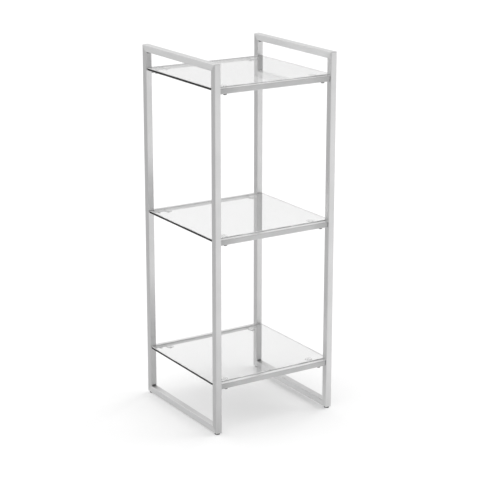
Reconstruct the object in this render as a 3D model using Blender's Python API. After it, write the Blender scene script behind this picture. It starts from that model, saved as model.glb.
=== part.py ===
"""Three-tier bathroom shelf.

Two welded side frames of square steel tube are joined by knock-down cross rails. Each rail slips
over a spigot on a post and is held there by one screw from below. Clear pads on pins plug into the
rails, and three loose glass panels lie on the pads, their tops a little proud of the rails.

Metres, +Z up. X runs from the left frame to the right frame and the front faces -Y.
The origin is on the floor, under the middle of the shelf.
"""
from math import cos, pi, radians, sin, sqrt

import bmesh
import bpy
from mathutils import Matrix, Vector

for leftover in list(bpy.data.objects):
    bpy.data.objects.remove(leftover, do_unlink=True)

# Driving sizes: the whole shelf
WIDTH = 0.300                # over the outer faces of the side frames
DEPTH = 0.300                # over the front and back posts
FRAME_HEIGHT = 0.797         # side frame, without its glides
CLEARANCE = 0.0003           # left between pieces that touch

# Driving sizes: side frame tube
POST = 0.015                 # outer side of the square tube
POST_WALL = 0.0012
POST_EDGE = 0.002            # outer edge radius

# Driving sizes: cross rails
RAIL = 0.012                 # outer side of the square tube
RAIL_WALL = 0.001
RAIL_EDGE = 0.0015           # outer edge radius
LOW_RAIL_HEIGHT = 0.0985     # underside of the frame to underside of the lowest rails
HANDLE_HEIGHT = 0.0625       # underside of the highest rails to the top of the frame

# Driving sizes: knock-down joint between post and rail
SCREW_SETBACK = 0.015        # post face to screw axis
SPIGOT_TAIL = 0.006          # spigot beyond the screw axis
SPIGOT_LEAD = 0.001          # chamfer on the spigot's free end
SCREW_DIAMETER = 0.004
SCREW_LENGTH = 0.009         # under the head
SCREW_POINT = 0.001          # chamfer on the screw's tip
SCREW_HEAD_DIAMETER = 0.008
SCREW_HEAD_HEIGHT = 0.0028
SCREW_HEAD_ROUND = 0.0014    # rounding of the head's rim

# Driving sizes: glass panels
GLASS = 0.006                # thickness
GLASS_PROUD = 0.0015         # rail top to glass top
GLASS_SIDE_INSET = 0.0015    # outer face of the frame to the glass edge
GLASS_EDGE_GAP = 0.001       # rail to the glass edge
GLASS_CORNER = 0.004         # corner radius in plan
GLASS_ARRIS = 0.0005         # chamfer along the edges

# Driving sizes: clear pads and their pins
PAD_FROM_POST = 0.025        # post face to pad centre
PAD_FROM_RAIL = 0.018        # rail face to pad centre
PAD_DIAMETER = 0.017
PAD = 0.0015                 # thickness
PAD_BEVEL = 0.0005           # chamfer on the pad's upper rim
PAD_LIP = 0.002              # width of the flat ring that carries the glass
PAD_DISH = 0.0004            # hollow inside that ring
PIN_DIAMETER = 0.004
PIN_SINK = 0.0008            # overlap of pin and pad in height
PIN_HEAD = 0.004             # pin beyond the pad's centre
PIN_TAIL = 0.002             # pin inside the rail's bore
PIN_CHAMFER = 0.0005         # on both ends of the pin
PIN_COLLAR = 0.001           # thickness of the collar that seats on the rail

# Driving sizes: glides
GLIDE_HEIGHT = 0.003         # floor to underside of the frame
GLIDE_DIAMETER = 0.012
GLIDE_ROUND = 0.001          # rounding of the rim at the floor
GLIDE_STEM_DIAMETER = 0.006
GLIDE_STEM_LENGTH = 0.007

# Fineness of the facets
EDGE_STEPS = 3               # per quarter turn on rounded edges
CORNER_STEPS = 4             # per quarter turn on glass corners
SPIGOT_STEPS = 1             # per quarter turn on the hidden spigot's edges
DRILL_STEPS = 12             # per turn on holes, screws and pins
DISC_STEPS = 20              # per turn on pads and glides
LEAST_RADIUS = 0.0002        # for an inner edge that would be sharp

LEVELS = ("low", "mid", "top")
SIDES = {"front": -1, "back": 1}
ENDS = {"left": -1, "right": 1}

# Places and fits worked out from the driving sizes
SHELF_PITCH = (FRAME_HEIGHT - LOW_RAIL_HEIGHT - HANDLE_HEIGHT) / (len(LEVELS) - 1)
POST_LINE_X = (WIDTH - POST) / 2
POST_LINE_Y = (DEPTH - POST) / 2
POST_FACE_X = WIDTH / 2 - POST
RAIL_FACE_Y = DEPTH / 2 - POST
RAIL_LINE_Y = RAIL_FACE_Y + RAIL / 2
RAIL_LENGTH = 2 * (POST_FACE_X - CLEARANCE)
SCREW_X = POST_FACE_X - SCREW_SETBACK
SCREW_HOLE = SCREW_DIAMETER + 2 * CLEARANCE
SPIGOT_X = POST_FACE_X - CLEARANCE
SPIGOT = RAIL - 2 * RAIL_WALL - 2 * CLEARANCE
PAD_X = POST_FACE_X - PAD_FROM_POST
PAD_Y = RAIL_FACE_Y - PAD_FROM_RAIL
PIN_HOLE = PIN_DIAMETER + 2 * CLEARANCE
GLIDE_HOLE = GLIDE_STEM_DIAMETER + 2 * CLEARANCE

# Heights above the underside of a rail
GLASS_BASE = RAIL + GLASS_PROUD - GLASS
PAD_BASE = GLASS_BASE - CLEARANCE - PAD
PIN_LINE = PAD_BASE + PIN_SINK - PIN_DIAMETER / 2
COLLAR_REACH = GLASS_BASE - CLEARANCE - PIN_LINE

X_AXIS = Vector((1, 0, 0))
Y_AXIS = Vector((0, 1, 0))
Z_AXIS = Vector((0, 0, 1))
HALF_TURN_ABOUT_Z = (0, 0, pi)
UNTURNED = (0, 0, 0)


# Materials
def finish(name, grey, roughness, metallic, transmission):
    """A plain neutral material for one kind of piece."""
    material = bpy.data.materials.new(name)
    material.use_nodes = True
    shader = material.node_tree.nodes["Principled BSDF"]
    shader.inputs["Base Color"].default_value = (grey, grey, grey, 1)
    shader.inputs["Roughness"].default_value = roughness
    shader.inputs["Metallic"].default_value = metallic
    shader.inputs["Transmission Weight"].default_value = transmission
    return material


SATIN_STEEL = finish("satin_steel", grey=0.56, roughness=0.35, metallic=1, transmission=0)
SCREW_STEEL = finish("screw_steel", grey=0.40, roughness=0.30, metallic=1, transmission=0)
CLEAR_GLASS = finish("clear_glass", grey=0.96, roughness=0.02, metallic=0, transmission=1)
CLEAR_PLASTIC = finish("clear_plastic", grey=0.85, roughness=0.25, metallic=0, transmission=0.8)
DARK_PLASTIC = finish("dark_plastic", grey=0.12, roughness=0.60, metallic=0, transmission=0)

shelf = bpy.data.objects.new("bathroom_shelf", None)
bpy.context.scene.collection.objects.link(shelf)


# Modelling tools
def add_piece(name, mesh, material, location, rotation=UNTURNED):
    """Place a mesh as one named piece of the shelf."""
    mesh.materials.clear()
    mesh.materials.append(material)
    piece = bpy.data.objects.new(name, mesh)
    bpy.context.scene.collection.objects.link(piece)
    piece.parent = shelf
    piece.location = location
    piece.rotation_euler = rotation


def to_mesh(bm, name):
    """Turn a bmesh into a mesh with smooth round faces and crisp edges."""
    mesh = bpy.data.meshes.new(name)
    bm.to_mesh(mesh)
    bm.free()
    mesh.shade_smooth()
    mesh.set_sharp_from_angle(angle=radians(35))
    return mesh


def arc(centre, radius, start, sweep, steps):
    """Points on an arc, both ends included."""
    turns = [start + sweep * step / steps for step in range(steps + 1)]
    return [(centre[0] + radius * cos(turn), centre[1] + radius * sin(turn)) for turn in turns]


def circle(centre, diameter, steps):
    """Closed round outline."""
    return arc(centre, diameter / 2, 0, 2 * pi, steps)[:-1]


def rounded_rectangle(size_x, size_y, radius, steps):
    """Closed anticlockwise outline about the origin."""
    reach_x = size_x / 2 - radius
    reach_y = size_y / 2 - radius
    outline = []
    for quarter, (way_x, way_y) in enumerate([(1, 1), (-1, 1), (-1, -1), (1, -1)]):
        corner = (way_x * reach_x, way_y * reach_y)
        outline += arc(corner, radius, quarter * pi / 2, pi / 2, steps)
    return outline


def join_rings(bm, rings):
    """Skin along a chain of rings of as many points each."""
    for ring, following in zip(rings, rings[1:]):
        for place in range(len(ring)):
            bm.faces.new((ring[place - 1], ring[place], following[place], following[place - 1]))


def close_ends(bm, rings):
    """Flat faces on the first and the last ring."""
    bm.faces.new(rings[0][::-1])
    bm.faces.new(rings[-1])


def square_tube(name, length, side, wall, edge, along, inward, mitre_gap=None):
    """Hollow square tube about the origin.

    A mitred tube is cut at 45 degrees so that its inward face is the short one.
    """
    bm = bmesh.new()
    bore = side - 2 * wall
    outer = rounded_rectangle(side, side, edge, EDGE_STEPS)
    inner = rounded_rectangle(bore, bore, max(edge - wall, LEAST_RADIUS), EDGE_STEPS)
    across = along.cross(inward)

    def end_ring(outline, way):
        ring = []
        for depth, sideways in outline:
            cut_back = 0 if mitre_gap is None else depth + side / 2 + mitre_gap
            reach = way * (length / 2 - cut_back)
            ring.append(bm.verts.new(depth * inward + sideways * across + reach * along))
        return ring

    start = end_ring(outer, -1)
    join_rings(bm, [start, end_ring(outer, 1), end_ring(inner, 1), end_ring(inner, -1), start])
    return to_mesh(bm, name)


def revolve(name, profile, steps, centre=(0, 0)):
    """Turn a profile of (radius, height) points, given from the bottom up, about an upright axis."""
    bm = bmesh.new()
    rings = []
    for radius, height in profile:
        outline = circle(centre, 2 * radius, steps)
        rings.append([bm.verts.new((x, y, height)) for x, y in outline])
    join_rings(bm, rings)
    close_ends(bm, rings)
    return to_mesh(bm, name)


def drill(diameter, centre, bottom, top):
    """Upright round cutter."""
    return revolve("drill", [(diameter / 2, bottom), (diameter / 2, top)], DRILL_STEPS, centre)


def lay_along_y(mesh, x, z):
    """Turn an upright mesh so that its axis runs along Y at the given X and Z."""
    mesh.transform(Matrix.Translation((x, 0, z)) @ Matrix.Rotation(-pi / 2, 4, "X"))
    return mesh


def plate(loops, bottom, thickness):
    """Level plate from an outline and any holes in it."""
    bm = bmesh.new()
    for loop in loops:
        corners = [bm.verts.new((x, y, bottom)) for x, y in loop]
        for place in range(len(corners)):
            bm.edges.new((corners[place - 1], corners[place]))
    bmesh.ops.triangle_fill(bm, use_beauty=True, edges=bm.edges[:])
    grown = bmesh.ops.extrude_face_region(bm, geom=bm.faces[:])
    top = [item for item in grown["geom"] if isinstance(item, bmesh.types.BMVert)]
    bmesh.ops.translate(bm, vec=thickness * Z_AXIS, verts=top)
    bmesh.ops.recalc_face_normals(bm, faces=bm.faces[:])
    return bm


def carve(blank, additions=(), drills=()):
    """Join meshes to a blank, cut others out of it, and return the mesh that results."""
    work = bpy.data.objects.new(blank.name, blank)
    helpers = [work]
    for operation, tools in (("UNION", additions), ("DIFFERENCE", drills)):
        for tool in tools:
            helper = bpy.data.objects.new(tool.name, tool)
            helpers.append(helper)
            step = work.modifiers.new(tool.name, "BOOLEAN")
            step.operation = operation
            step.solver = "EXACT"
            step.object = helper
    for helper in helpers:
        bpy.context.scene.collection.objects.link(helper)
    graph = bpy.context.evaluated_depsgraph_get()
    carved = bpy.data.meshes.new_from_object(work.evaluated_get(graph))
    for helper in helpers:
        bpy.data.objects.remove(helper)
    return carved


# Side frames: two upright loops of mitred and welded tube
def add_side_frames():
    mitre_gap = CLEARANCE / sqrt(2)
    tube = {"side": POST, "wall": POST_WALL, "edge": POST_EDGE, "mitre_gap": mitre_gap}
    post = square_tube("post", FRAME_HEIGHT, along=Z_AXIS, inward=Y_AXIS, **tube)
    top_rail = square_tube("top_rail", DEPTH, along=Y_AXIS, inward=-Z_AXIS, **tube)
    bottom_rail = square_tube("bottom_rail", DEPTH, along=Y_AXIS, inward=Z_AXIS, **tube)
    holes = [drill(GLIDE_HOLE, (0, way * POST_LINE_Y), -POST, 0) for way in SIDES.values()]
    bottom_rail = carve(bottom_rail, drills=holes)

    middle = GLIDE_HEIGHT + FRAME_HEIGHT / 2
    reach = (FRAME_HEIGHT - POST) / 2
    for end, sign in ENDS.items():
        x = sign * POST_LINE_X
        add_piece(f"{end}_front_post", post, SATIN_STEEL, (x, -POST_LINE_Y, middle))
        add_piece(f"{end}_back_post", post, SATIN_STEEL, (x, POST_LINE_Y, middle), HALF_TURN_ABOUT_Z)
        add_piece(f"{end}_top_rail", top_rail, SATIN_STEEL, (x, 0, middle + reach))
        add_piece(f"{end}_bottom_rail", bottom_rail, SATIN_STEEL, (x, 0, middle - reach))


# Glides: turned feet whose stems plug into the bottom rails
def add_glides():
    rim = GLIDE_DIAMETER / 2
    stem = GLIDE_STEM_DIAMETER / 2
    top = GLIDE_HEIGHT - CLEARANCE
    profile = arc((rim - GLIDE_ROUND, GLIDE_ROUND), GLIDE_ROUND, -pi / 2, pi / 2, EDGE_STEPS)
    profile += [(rim, top), (stem, top), (stem, top + GLIDE_STEM_LENGTH)]
    glide = revolve("glide", profile, DISC_STEPS)
    for end, sign in ENDS.items():
        for side, way in SIDES.items():
            place = (sign * POST_LINE_X, way * POST_LINE_Y, 0)
            add_piece(f"{end}_{side}_glide", glide, DARK_PLASTIC, place)


# Cross rails: open tube with a screw hole and a pin hole near each end
def cross_rail_mesh():
    """Rail along X about its own middle, with its inner face on +Y."""
    tube = square_tube("cross_rail", RAIL_LENGTH, RAIL, RAIL_WALL, RAIL_EDGE, X_AXIS, Z_AXIS)
    holes = []
    for sign in ENDS.values():
        holes.append(drill(SCREW_HOLE, (sign * SCREW_X, 0), -RAIL, 0))
        pin_hole = drill(PIN_HOLE, (0, 0), 0, RAIL)
        holes.append(lay_along_y(pin_hole, sign * PAD_X, PIN_LINE - RAIL / 2))
    return carve(tube, drills=holes)


# Knock-down joint: spigot welded to the post, screw up through rail and spigot
def spigot_mesh():
    """Square bar along +X from the post's face, with a lead-in chamfer and a hole right through."""
    bm = bmesh.new()
    edge = max(RAIL_EDGE - RAIL_WALL, LEAST_RADIUS)
    outline = rounded_rectangle(SPIGOT, SPIGOT, edge, SPIGOT_STEPS)
    length = SCREW_SETBACK + SPIGOT_TAIL - CLEARANCE
    nose = 1 - 2 * SPIGOT_LEAD / SPIGOT
    rings = []
    for along, scale in ((0, 1), (length - SPIGOT_LEAD, 1), (length, nose)):
        rings.append([bm.verts.new((along, y * scale, z * scale)) for y, z in outline])
    join_rings(bm, rings)
    close_ends(bm, rings)
    hole = drill(SCREW_HOLE, (SCREW_SETBACK - CLEARANCE, 0), -SPIGOT, SPIGOT)
    return carve(to_mesh(bm, "spigot"), drills=[hole])


def screw_mesh():
    """Pan head at the bottom, plain shank above it."""
    head = SCREW_HEAD_DIAMETER / 2
    shank = SCREW_DIAMETER / 2
    tip = SCREW_HEAD_HEIGHT + SCREW_LENGTH
    rim = (head - SCREW_HEAD_ROUND, SCREW_HEAD_ROUND)
    profile = arc(rim, SCREW_HEAD_ROUND, -pi / 2, pi / 2, EDGE_STEPS)
    profile += [(head, SCREW_HEAD_HEIGHT), (shank, SCREW_HEAD_HEIGHT)]
    profile += [(shank, tip - SCREW_POINT), (shank - SCREW_POINT, tip)]
    return revolve("screw", profile, DRILL_STEPS)


# Pads: clear dished discs, each on a pin that plugs into the rail's inner face
def pad_mesh():
    """Pad with its underside on Z = 0 and its pin pointing to -Y."""
    rim = PAD_DIAMETER / 2
    lip = rim - PAD_BEVEL - PAD_LIP
    profile = [(rim, 0), (rim, PAD - PAD_BEVEL), (rim - PAD_BEVEL, PAD)]
    profile += [(lip, PAD), (lip - PAD_DISH, PAD - PAD_DISH)]
    disc = revolve("pad", profile, DISC_STEPS)

    radius = PIN_DIAMETER / 2
    nose = radius - PIN_CHAMFER
    tail = -(PAD_FROM_RAIL + RAIL_WALL + PIN_TAIL)
    seat = -(PAD_FROM_RAIL - CLEARANCE)
    shoulder = seat + PIN_COLLAR
    profile = [(nose, tail), (radius, tail + PIN_CHAMFER), (radius, seat), (COLLAR_REACH, seat)]
    profile += [(COLLAR_REACH, shoulder), (radius, shoulder)]
    profile += [(radius, PIN_HEAD - PIN_CHAMFER), (nose, PIN_HEAD)]
    pin = lay_along_y(revolve("pin", profile, DRILL_STEPS), 0, PIN_LINE - PAD_BASE)
    return carve(disc, additions=[pin])


# Glass panels: loose plates with rounded corners and ground edges
def glass_mesh():
    """Panel with its underside on Z = 0 and its origin on the axis along which it lifts."""
    size_x = WIDTH - 2 * GLASS_SIDE_INSET
    size_y = 2 * (RAIL_FACE_Y - GLASS_EDGE_GAP)
    bm = plate([rounded_rectangle(size_x, size_y, GLASS_CORNER, CORNER_STEPS)], 0, GLASS)
    rim = [edge for edge in bm.edges if edge.calc_face_angle() > radians(60)]
    bmesh.ops.bevel(bm, geom=rim, offset=GLASS_ARRIS, segments=1, affect="EDGES")
    return to_mesh(bm, "glass")


def add_levels():
    rail = cross_rail_mesh()
    spigot = spigot_mesh()
    screw = screw_mesh()
    pad = pad_mesh()
    glass = glass_mesh()
    for level, name in enumerate(LEVELS):
        base = GLIDE_HEIGHT + LOW_RAIL_HEIGHT + level * SHELF_PITCH
        middle = base + RAIL / 2
        screw_base = base - CLEARANCE - SCREW_HEAD_HEIGHT
        for side, way in SIDES.items():
            y = way * RAIL_LINE_Y
            facing_in = HALF_TURN_ABOUT_Z if side == "back" else UNTURNED
            add_piece(f"{name}_{side}_rail", rail, SATIN_STEEL, (0, y, middle), facing_in)
            for end, sign in ENDS.items():
                corner = f"{name}_{side}_{end}"
                turn = HALF_TURN_ABOUT_Z if end == "right" else UNTURNED
                add_piece(f"{corner}_spigot", spigot, SATIN_STEEL, (sign * SPIGOT_X, y, middle), turn)
                add_piece(f"{corner}_screw", screw, SCREW_STEEL, (sign * SCREW_X, y, screw_base))
                pad_place = (sign * PAD_X, way * PAD_Y, base + PAD_BASE)
                add_piece(f"{corner}_pad", pad, CLEAR_PLASTIC, pad_place, facing_in)
        add_piece(f"{name}_glass", glass, CLEAR_GLASS, (0, 0, base + GLASS_BASE))


add_side_frames()
add_glides()
add_levels()
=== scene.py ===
# %% [markdown]
# A bathroom tower shelf of satin steel and clear glass
#
# The real shelf is two welded loops of square steel tube, six cross rails that are screwed between
# them, and three loose sheets of glass on clear pads. This lesson dresses a measured model of it for a
# studio picture. The model already holds every size and joint, so each piece below takes its place and
# its main sizes from there, and only walls, roundings and other small sizes are typed in. Everything is
# in metres, Z is up and the front faces -Y.

# %% Load the measured model
from math import cos, pi, radians, sin

import bmesh
import bpy
from mathutils import Matrix, Vector


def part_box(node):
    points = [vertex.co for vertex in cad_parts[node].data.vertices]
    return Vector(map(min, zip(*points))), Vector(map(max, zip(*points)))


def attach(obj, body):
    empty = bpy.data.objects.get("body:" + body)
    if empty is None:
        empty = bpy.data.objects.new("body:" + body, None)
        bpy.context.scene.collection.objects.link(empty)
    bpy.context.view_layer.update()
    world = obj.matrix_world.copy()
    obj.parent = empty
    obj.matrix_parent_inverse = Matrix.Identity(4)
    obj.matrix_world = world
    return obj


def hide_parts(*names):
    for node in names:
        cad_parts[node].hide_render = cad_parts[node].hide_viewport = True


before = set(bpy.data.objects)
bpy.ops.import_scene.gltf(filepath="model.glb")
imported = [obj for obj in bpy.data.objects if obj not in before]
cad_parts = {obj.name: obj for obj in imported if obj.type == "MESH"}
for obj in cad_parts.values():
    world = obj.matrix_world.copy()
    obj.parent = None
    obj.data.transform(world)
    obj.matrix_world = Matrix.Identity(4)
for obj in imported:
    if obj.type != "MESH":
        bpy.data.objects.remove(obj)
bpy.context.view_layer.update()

# %% [markdown]
# Camera
#
# The picture looks from the front left, a little from above. A short lens close by would make the
# uprights lean together, so a long lens stands about three and a half metres off. The numbers were
# fitted so that the corners of the shelf fall where they do in the photograph.

# %% Set up the camera
CAMERA_PLACE = (-1.7865, -2.8570, 1.3626)
CAMERA_TURN = radians(-32.077)
CAMERA_DIP = radians(16.331)
CAMERA_LENS = 120.03
CAMERA_SENSOR = 36
FARTHEST_SEEN = 200

camera_data = bpy.data.cameras.new("camera")
camera_data.lens = CAMERA_LENS
camera_data.sensor_width = CAMERA_SENSOR
camera_data.clip_end = FARTHEST_SEEN
camera = bpy.data.objects.new("camera", camera_data)
camera.location = CAMERA_PLACE
camera.rotation_euler = (pi / 2 - CAMERA_DIP, 0, CAMERA_TURN)
bpy.context.scene.collection.objects.link(camera)
bpy.context.scene.camera = camera
bpy.context.scene.view_settings.view_transform = "Standard"

print("camera", CAMERA_LENS, "mm, at", CAMERA_PLACE)

# %% [markdown]
# Helpers for node trees
#
# Light, materials, shared effects and Geometry Nodes are all node trees. Written out in full, every node
# takes several lines, so a few helpers keep the rest readable: one adds a node with its settings, one
# links a socket or types a value in it, and three add the sums, ramps and blends that come up often.

# %% Node helpers


def add_node(tree, kind, **settings):
    """Add a node and set its properties by name."""
    node = tree.nodes.new(kind)
    for name, value in settings.items():
        setattr(node, name, value)
    return node


def feed(tree, target, source):
    """Link an output to an input, or set the input to a value."""
    if isinstance(source, bpy.types.NodeSocket):
        tree.links.new(source, target)
    else:
        target.default_value = source


def calculate(tree, operation, first, second=0.0):
    """Math node on two numbers or sockets; returns its result."""
    node = add_node(tree, "ShaderNodeMath", operation=operation)
    feed(tree, node.inputs[0], first)
    feed(tree, node.inputs[1], second)
    return node.outputs[0]


def remap(tree, value, low, high, start=0.0, end=1.0):
    """Stretch a value from start..end to low..high."""
    node = add_node(tree, "ShaderNodeMapRange")
    for name, source in (("Value", value), ("From Min", start), ("From Max", end)):
        feed(tree, node.inputs[name], source)
    feed(tree, node.inputs["To Min"], low)
    feed(tree, node.inputs["To Max"], high)
    return node.outputs["Result"]


def mix_shaders(tree, share, first, second):
    """Blend two shaders: all first at a share of 0, all second at 1."""
    node = add_node(tree, "ShaderNodeMixShader")
    for target, source in zip(node.inputs, (share, first, second)):
        feed(tree, target, source)
    return node.outputs[0]


print("helpers:", [helper.__name__ for helper in (add_node, feed, calculate, remap, mix_shaders)])

# %% [markdown]
# Room light
#
# Satin steel shows its surroundings, so the room makes the picture. Lamps on all sides would leave spots
# on the steel, and plain white all round would leave it without form. So steel mirrors a world whose
# brightness leans one way: it is brighter above, behind and on the left, and dimmer in front. The
# camera, also through glass, sees plain white instead. That white is off after a matt bounce, because
# light that falls through the glass onto something matt is counted already.

# %% Light the room
ROOM_LEVEL = 0.63
ROOM_TILT = Vector((-0.3, 0.34, 0.32))
WHITE = (1, 1, 1, 1)


def towards(tree, place, way):
    """How far a place or a direction lies in a given way."""
    node = add_node(tree, "ShaderNodeVectorMath", operation="DOT_PRODUCT")
    feed(tree, node.inputs[0], place)
    feed(tree, node.inputs[1], way)
    return node.outputs["Value"]


def seen_white(tree):
    """1 for rays from the camera or through glass, else 0."""
    path = add_node(tree, "ShaderNodeLightPath").outputs
    return calculate(tree, "MAXIMUM", path["Is Camera Ray"], path["Is Transmission Ray"])


def background(tree, strength):
    """White light from all round."""
    node = add_node(tree, "ShaderNodeBackground")
    node.inputs["Color"].default_value = WHITE
    feed(tree, node.inputs["Strength"], strength)
    return node.outputs[0]


world = bpy.data.worlds.new("studio")
world.use_nodes = True
bpy.context.scene.world = world
sky = world.node_tree
sky.nodes.clear()
direction = add_node(sky, "ShaderNodeTexCoord").outputs["Generated"]
brightness = calculate(sky, "ADD", towards(sky, direction, ROOM_TILT), ROOM_LEVEL)
matt_bounces = add_node(sky, "ShaderNodeLightPath").outputs["Diffuse Depth"]
before_any = calculate(sky, "LESS_THAN", matt_bounces, 1.0)
sky_light = mix_shaders(sky, seen_white(sky), background(sky, brightness), background(sky, before_any))
feed(sky, add_node(sky, "ShaderNodeOutputWorld").inputs["Surface"], sky_light)

print("room:", ROOM_LEVEL, "with a tilt of", [round(part, 2) for part in ROOM_TILT])

# %% [markdown]
# Lamp
#
# One lamp from the right lays a faint shadow to the left. An area lamp would need its own size and
# distance, so this is a sun lamp with a wide angle, which gives the shadow the same soft edge. Steel and
# glass don't mirror the lamp, because its disc would leave a hard edge on the glass.

# %% Hang the lamp
LAMP_POWER = 1.7
LAMP_ANGLE = radians(55)
LAMP_FROM = Vector((1.0, -0.1, 0.8))

lamp_data = bpy.data.lights.new("key", "SUN")
lamp_data.energy = LAMP_POWER
lamp_data.angle = LAMP_ANGLE
lamp = bpy.data.objects.new("key", lamp_data)
lamp.rotation_mode = "QUATERNION"
lamp.rotation_quaternion = LAMP_FROM.to_track_quat("Z", "Y")
lamp.visible_transmission = False
lamp.visible_glossy = False
bpy.context.scene.collection.objects.link(lamp)

print("lamp:", LAMP_POWER, "from", [round(part, 2) for part in LAMP_FROM])

# %% [markdown]
# Floor
#
# The shelf stands on a plain pale studio floor. A curved backdrop would show in the steel as a band, so
# one square is enough, large enough that no view reaches its edge. It belongs to the stage and not to
# the shelf.

# %% Lay the floor
FLOOR_SIDE = 60

floor_mesh = bpy.data.meshes.new("floor")
reach = FLOOR_SIDE / 2
floor_corners = [(-reach, -reach, 0), (reach, -reach, 0), (reach, reach, 0), (-reach, reach, 0)]
floor_mesh.from_pydata(floor_corners, [], [(0, 1, 2, 3)])
floor = bpy.data.objects.new("floor", floor_mesh)
bpy.context.scene.collection.objects.link(floor)

print("floor:", FLOOR_SIDE, "m square")

# %% [markdown]
# Floor paint
#
# A floor of plain white would throw too much light up at the shelf. So its paint is grey, a little
# darker on the left, and it glows for the camera by as much as it lacks to white. That way it reads as
# white and still keeps the shadow.

# %% Paint the floor
FLOOR_WHITE = 0.99
FLOOR_NEAR = 0.66
FLOOR_FAR = 0.5
LEFTWARDS = Vector((-1.0, 0.15, 0.0))
DIM_FROM = 0.3
DIM_TO = 1.3


def glow(tree, strength):
    """White glow of a surface."""
    node = add_node(tree, "ShaderNodeEmission")
    feed(tree, node.inputs["Strength"], strength)
    return node.outputs[0]


floor_paint = bpy.data.materials.new("floor_paint")
floor_paint.use_nodes = True
floor_mesh.materials.append(floor_paint)
paint = floor_paint.node_tree
paint.nodes.clear()
far_left = towards(paint, add_node(paint, "ShaderNodeTexCoord").outputs["Object"], LEFTWARDS)
tone = remap(paint, far_left, FLOOR_NEAR, FLOOR_FAR, DIM_FROM, DIM_TO)
matt = add_node(paint, "ShaderNodeBsdfDiffuse")
feed(paint, matt.inputs["Color"], tone)
missing = calculate(paint, "SUBTRACT", FLOOR_WHITE, tone)
seen = add_node(paint, "ShaderNodeAddShader")
feed(paint, seen.inputs[0], matt.outputs[0])
feed(paint, seen.inputs[1], glow(paint, calculate(paint, "MULTIPLY", seen_white(paint), missing)))

print("floor paint:", FLOOR_NEAR, "near,", FLOOR_FAR, "far to the left")

# %% [markdown]
# The floor in the steel
#
# The lower half of what a tube mirrors is floor. Mirrored as the camera sees it, the floor would make
# all sides of a post alike. So mirrors see half of the grey paint and half a plain glow that fades from
# right to left, which leaves the left sides of the posts darker than their fronts.

# %% Add what the steel mirrors
MIRROR_SHARE = 0.5
MIRROR_RIGHT = 1.5
MIRROR_LEFT = 0.75
FADE_FROM = -0.4
FADE_TO = 0.2

path = add_node(paint, "ShaderNodeLightPath").outputs
mirrored = calculate(paint, "GREATER_THAN", path["Is Glossy Ray"], path["Is Transmission Ray"])
share = calculate(paint, "MULTIPLY", mirrored, MIRROR_SHARE)
fading = remap(paint, far_left, MIRROR_RIGHT, MIRROR_LEFT, FADE_FROM, FADE_TO)
floor_look = mix_shaders(paint, share, seen.outputs[0], glow(paint, fading))
feed(paint, add_node(paint, "ShaderNodeOutputMaterial").inputs["Surface"], floor_look)

print("mirrored glow:", MIRROR_RIGHT, "on the right,", MIRROR_LEFT, "on the left")

# %% [markdown]
# Shared effect: brushing
#
# Steel is brushed with an abrasive belt, which leaves fine streaks one way. Several finishes need them,
# so they are a shader node group, built once, and each material only chooses how long and wide they are.
# The group divides the place by those sizes, and so stretches plain noise into streaks.

# %% Build the brushing group
STREAK_DETAIL = 2.0
STREAK_SPAN = (0.25, 0.75)


def effect_group(name, numbers, output):
    """Empty shader group with a place to read, named numbers and one named output."""
    group = bpy.data.node_groups.new(name, "ShaderNodeTree")
    group.interface.new_socket("Place", in_out="INPUT", socket_type="NodeSocketVector")
    for number in numbers:
        group.interface.new_socket(number, in_out="INPUT", socket_type="NodeSocketFloat")
    group.interface.new_socket(output, in_out="OUTPUT", socket_type="NodeSocketFloat")
    return group, add_node(group, "NodeGroupInput"), add_node(group, "NodeGroupOutput")


def noise(tree, place, scale, detail):
    """Fractal noise between 0 and 1."""
    node = add_node(tree, "ShaderNodeTexNoise")
    feed(tree, node.inputs["Vector"], place)
    feed(tree, node.inputs["Scale"], scale)
    feed(tree, node.inputs["Detail"], detail)
    return node.outputs[0]


BRUSHING, given, result = effect_group("brushing", ("Length", "Width"), "Streaks")
parts = add_node(BRUSHING, "ShaderNodeSeparateXYZ")
feed(BRUSHING, parts.inputs[0], given.outputs["Place"])
stretched = add_node(BRUSHING, "ShaderNodeCombineXYZ")
for axis, size in (("X", "Length"), ("Y", "Width"), ("Z", "Width")):
    shrunk = calculate(BRUSHING, "DIVIDE", parts.outputs[axis], given.outputs[size])
    feed(BRUSHING, stretched.inputs[axis], shrunk)
streaks = noise(BRUSHING, stretched.outputs[0], 1.0, STREAK_DETAIL)
feed(BRUSHING, result.inputs["Streaks"], remap(BRUSHING, streaks, 0.0, 1.0, *STREAK_SPAN))

print("effect:", BRUSHING.name, "with", len(BRUSHING.nodes), "nodes")

# %% [markdown]
# Shared effect: handling
#
# Hands and cloths leave soft cloudy patches on steel, glass and plastic alike. They could be painted on,
# but an even cloud of noise is enough for such faint marks. Each material chooses the size of a patch.

# %% Build the handling group
CLOUD_DETAIL = 3.0
CLOUD_SPAN = (0.4, 0.7)

HANDLING, given, result = effect_group("handling", ("Patch",), "Haze")
per_metre = calculate(HANDLING, "DIVIDE", 1.0, given.outputs["Patch"])
clouds = noise(HANDLING, given.outputs["Place"], per_metre, CLOUD_DETAIL)
feed(HANDLING, result.inputs["Haze"], remap(HANDLING, clouds, 0.0, 1.0, *CLOUD_SPAN))

print("effect:", HANDLING.name, "with", len(HANDLING.nodes), "nodes")

# %% [markdown]
# Helpers for finishes
#
# A single flat colour looks like a stand-in, so the tone, the gloss and often the relief of each finish
# vary with a shared effect. Every finish starts from one Principled shader. Patterns are placed by the
# coordinates of the object, except along tubes, where a UV map follows the metal round its corners.

# %% Start a finish
ALONG = "along"


def new_finish(name):
    """Material with one Principled shader; returns the material, its tree and the shader."""
    material = bpy.data.materials.new(name)
    material.use_nodes = True
    tree = material.node_tree
    return material, tree, tree.nodes["Principled BSDF"]


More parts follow.
